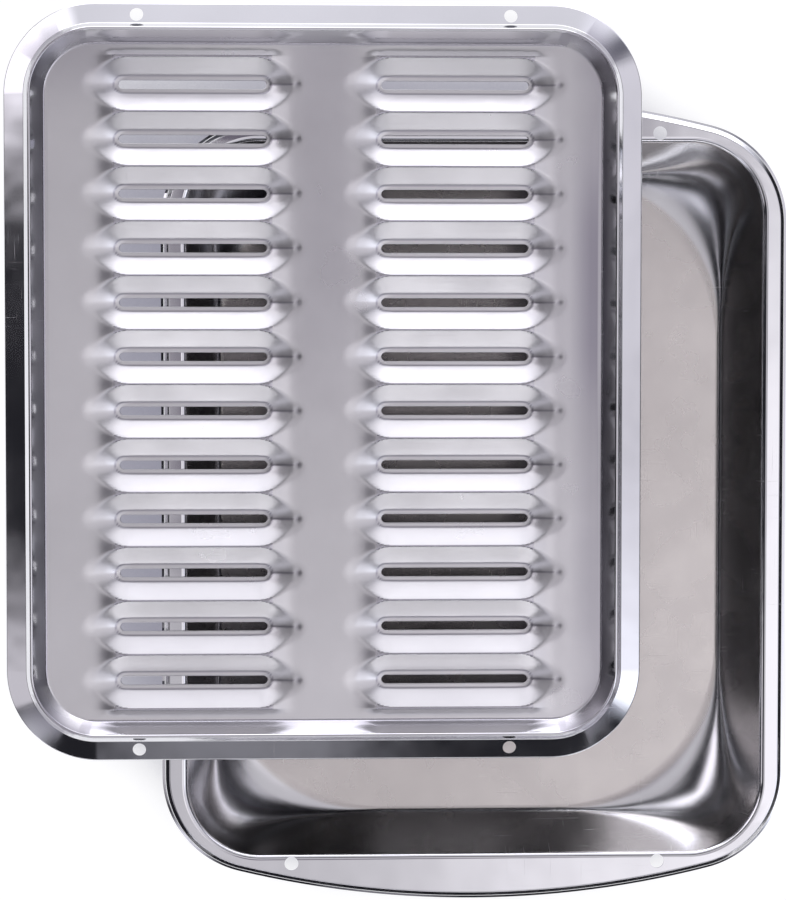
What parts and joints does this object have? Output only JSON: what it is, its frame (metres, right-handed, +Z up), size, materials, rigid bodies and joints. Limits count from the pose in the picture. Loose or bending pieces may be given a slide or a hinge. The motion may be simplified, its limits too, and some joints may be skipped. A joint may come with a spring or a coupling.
{
  "type": "broiler pan",
  "caption": "Rectangular drip pan of bright pressed steel with bowed end flanges, and a slotted grill insert lying across its rim, as shown off to one side of it.",
  "frame": {"origin": "middle of the underside of the pan, on the surface that it stands on", "axes": "+Z up, +Y along the pan's length towards the end that the insert overhangs, +X across its width, away from the side that the insert overhangs"},
  "size_m": [0.4035, 0.4625, 0.056],
  "materials": {
    "pan_plating": "bright plated sheet steel, dull on the floor",
    "insert_plating": "bright plated rim, satin slotted floor"
  },
  "bodies": {
    "root": {"pan": "pan_plating", "grill_insert": "insert_plating"}
  },
  "joints": []
}
